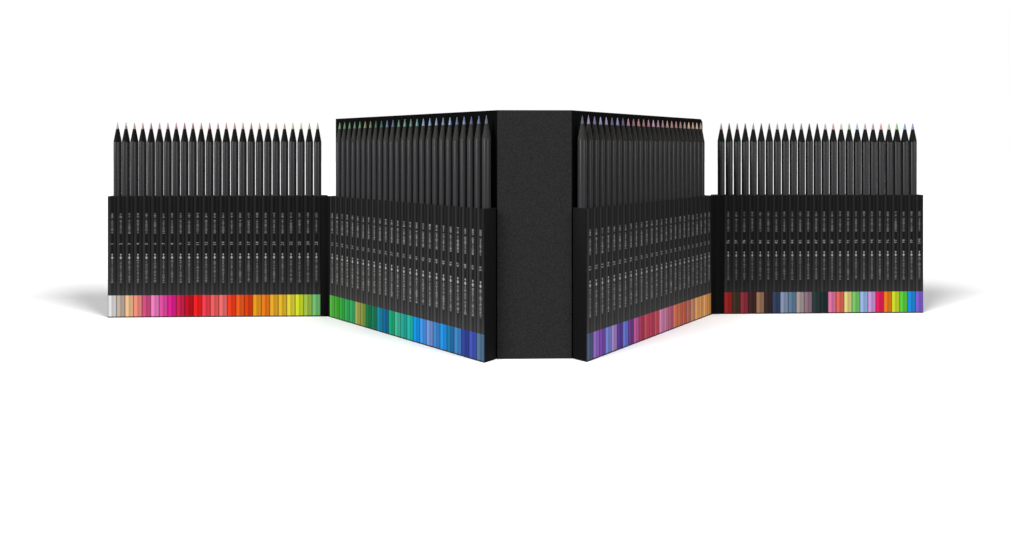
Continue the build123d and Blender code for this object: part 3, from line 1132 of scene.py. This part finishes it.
def make_dyed_wood(name, dark, pale):
    """Black-dyed basswood, cut along its grain by the sharpener, with fine streaks up the cone."""
    material, tree, place = start_material(name)
    fineness = (per_metre(WOOD_GRAIN_WIDTH), per_metre(WOOD_GRAIN_WIDTH), per_metre(WOOD_GRAIN_LENGTH))
    stretched = add_node(tree, "Mapping", {"Scale": fineness}, {"Vector": place})
    grain = add_node(tree, "TexNoise", {"Scale": 1.0, "Detail": 3.0}, {"Vector": stretched.outputs[0]})
    wood_black = add_node(
        tree, "Mix", {"data_type": "RGBA", "A_Color": linear(dark), "B_Color": linear(pale)},
        {"Factor_Float": grain.outputs["Fac"]},
    )
    bump = add_node(
        tree, "Bump", {"Strength": 0.5, "Distance": 0.0001}, {"Height": grain.outputs["Fac"]}
    )
    wood = add_node(
        tree, "BsdfPrincipled", {"Roughness": 0.8, "Specular IOR Level": 0.1},
        {"Base Color": wood_black, "Normal": bump.outputs[0]},
    )
    add_node(tree, "OutputMaterial", {}, {"Surface": wood.outputs[0]})
    return material


# The inner rows' cones are drawn in a paler grey than the wings', as painted light on them.
DYED_WOOD = {
    "inner": make_dyed_wood("grey_black_basswood", "282827", "454442"),
    "outer": make_dyed_wood("deep_black_basswood", "0C0C0C", "1A1918"),
}

# Pigment and wax, cut by the sharpener: duller and darker than the dipped end, and a little chalky. The
# chalky grain is drawn coarser than real, so that it shows.
CHALK_GRAIN = 0.5556

pigment_core, tree, place = start_material("pigment_core")
pigment = add_node(tree, "Attribute", {"attribute_name": "pigment"})
chalk = add_node(tree, "TexNoise", {"Scale": per_metre(CHALK_GRAIN), "Detail": 2.0}, {"Vector": place})
chalk_shade = add_node(
    tree, "MapRange", {"To Min": 0.86, "To Max": 1.06}, {"Value": chalk.outputs["Fac"]}
)
chalky = add_node(
    tree, "HueSaturation", {"Saturation": 0.55, "Value": 0.6}, {"Color": pigment.outputs["Color"]}
)
core_colour = add_node(
    tree, "VectorMath", {"operation": "SCALE"},
    {"Vector": chalky.outputs["Color"], "Scale": chalk_shade.outputs[0]},
)
bump = add_node(tree, "Bump", {"Strength": 0.4, "Distance": 0.00006}, {"Height": chalk.outputs["Fac"]})
core_shader = add_node(
    tree, "BsdfPrincipled", {"Roughness": 0.55, "Specular IOR Level": 0.3},
    {"Base Color": core_colour.outputs[0], "Normal": bump.outputs[0]},
)
add_node(tree, "OutputMaterial", {}, {"Surface": core_shader.outputs[0]})


def grow(bm, cap):
    """Extrudes the cap of a rod by one ring and returns the new cap."""
    made = bmesh.ops.extrude_face_region(bm, geom=[cap])["geom"]
    return next(part for part in made if isinstance(part, bmesh.types.BMFace))


def make_casing():
    """Wooden casing of one pencil, upright on the origin: rounded foot, six flats and cut cone."""
    bm = bmesh.new()
    bmesh.ops.create_circle(bm, cap_ends=True, segments=6, radius=CORNER_RADIUS)
    bmesh.ops.subdivide_edges(bm, edges=bm.edges[:], cuts=1)
    corners = [vert for vert in bm.verts if vert.co.length > CORNER_RADIUS - 0.1]
    bmesh.ops.bevel(
        bm, geom=corners, offset=CORNER_CUT, offset_type="OFFSET", segments=1, profile=0.5,
        affect="VERTICES", material=-1,
    )
    foot = bm.faces[:][0]
    cap = grow(bm, foot)
    for vert in cap.verts:
        vert.co.z = FOOT_ROUND
    for vert in foot.verts:
        vert.co.xy *= FOOT_SHARE
    cap = grow(bm, cap)
    for vert in cap.verts:
        vert.co.z = PENCIL_LENGTH - (vert.co.xy.length - POINT_RADIUS) / POINT_SLOPE
    side_faces = set(bm.faces)
    cap = grow(bm, cap)
    for vert in cap.verts:
        vert.co.xy = vert.co.xy.normalized() * LIP_RADIUS
        vert.co.z = PENCIL_LENGTH - (LIP_RADIUS - POINT_RADIUS) / POINT_SLOPE
    for face in bm.faces:
        face.material_index = SIDE if face in side_faces else CONE
    return bm


def make_point():
    """The sharpened end of one lead, from inside the casing's lip up to its blunted tip."""
    bm = bmesh.new()
    bmesh.ops.create_circle(bm, cap_ends=True, segments=12, radius=CORE_RADIUS)
    lip_height = PENCIL_LENGTH - (CORE_RADIUS - POINT_RADIUS) / POINT_SLOPE
    bmesh.ops.translate(bm, verts=bm.verts, vec=(0, 0, lip_height - CORE_BELOW_LIP))
    cap = bm.faces[:][0]
    for radius, level in (
        (CORE_RADIUS, lip_height), (POINT_RADIUS, PENCIL_LENGTH - BLUNTED), (BLUNTED, PENCIL_LENGTH)
    ):
        cap = grow(bm, cap)
        for vert in cap.verts:
            vert.co.xy = vert.co.xy.normalized() * radius
            vert.co.z = level
    return bm


def as_mesh(bm, name):
    """A template mesh of one piece, to be repeated."""
    bmesh.ops.recalc_face_normals(bm, faces=bm.faces)
    mesh = bpy.data.meshes.new(name)
    bm.to_mesh(mesh)
    bm.free()
    return mesh


def make_row(template, positions, colours, turns):
    """Repeats a template along a tray, each with its own colour and its own turn in its groove."""
    bm = bmesh.new()
    layer = bm.loops.layers.float_color.new("pigment")
    for x, colour, degrees in zip(positions, colours, turns):
        known_verts = len(bm.verts)
        known_faces = len(bm.faces)
        bm.from_mesh(template)
        bm.verts.ensure_lookup_table()
        bm.faces.ensure_lookup_table()
        turn = Matrix.Rotation(math.radians(degrees), 4, "Z")
        to_groove = Matrix.Translation((x, PENCIL_BEHIND, TRAY_FLOOR)) @ turn
        bmesh.ops.transform(bm, matrix=to_groove, verts=bm.verts[known_verts:])
        for face in bm.faces[known_faces:]:
            for loop in face.loops:
                loop[layer] = colour
    return bm


casing_mesh = as_mesh(make_casing(), "one_casing")
point_mesh = as_mesh(make_point(), "one_point")
GROUPS = (8, 9, 8)
INNER_PITCH = (TRAY_WIDTH - 2 * CARD) / COLUMNS
WING_PITCH = 7.598
LOOSE = 1.2

# Each row: where it starts along its tray, its pitch, and how far its pencils are turned in their
# grooves at the end nearer the spine and at the far end.
ROWS = {
    "left_outer_tray": (1.2, WING_PITCH, 25.0, 36.0),
    "left_inner_tray": (CARD, INNER_PITCH, -20.0, -20.0),
    "right_inner_tray": (CARD, INNER_PITCH, -20.0, -20.0),
    "right_outer_tray": (4.4, WING_PITCH, 20.0, 33.5),
}
chances = random.Random(7)

for tray, side, row, _, _ in TRAYS:
    row_start, pitch, near_turn, far_turn = ROWS[tray]
    step = (far_turn - near_turn) / (COLUMNS - 1)
    toward = -1 if side == "right" else 1
    first = 0
    for number in ((1, 2, 3) if side == "right" else (3, 2, 1)):
        count = GROUPS[number - 1]
        columns = range(first, first + count)
        positions = [row_start + (column_number + 0.5) * pitch for column_number in columns]
        colours = [PIGMENTS[tray][column_number] for column_number in columns]
        from_spine = [n if side == "right" else COLUMNS - 1 - n for n in columns]
        turns = [chances.uniform(-LOOSE, LOOSE) + toward * (near_turn + n * step) for n in from_spine]
        group = f"{side}_{row}_pencils_{number}"
        casings = finish_piece(
            f"{group}_casings", make_row(casing_mesh, positions, colours, turns), PLACES[tray],
            [lacquer, DYED_WOOD[row]], group,
        )
        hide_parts(f"{side}_{row}_pencil_casings_{number}")
        points = finish_piece(
            f"{group}_points", make_row(point_mesh, positions, colours, turns), PLACES[tray],
            [pigment_core], group,
        )
        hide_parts(f"{side}_{row}_pencil_leads_{number}")
        for piece in (casings, points):
            pencils_alone.objects.link(piece)
            case_alone.objects.link(piece)
        first += count

bpy.data.meshes.remove(casing_mesh)
bpy.data.meshes.remove(point_mesh)
for member in case_alone.collection_objects:
    member.light_linking.link_state = "EXCLUDE"
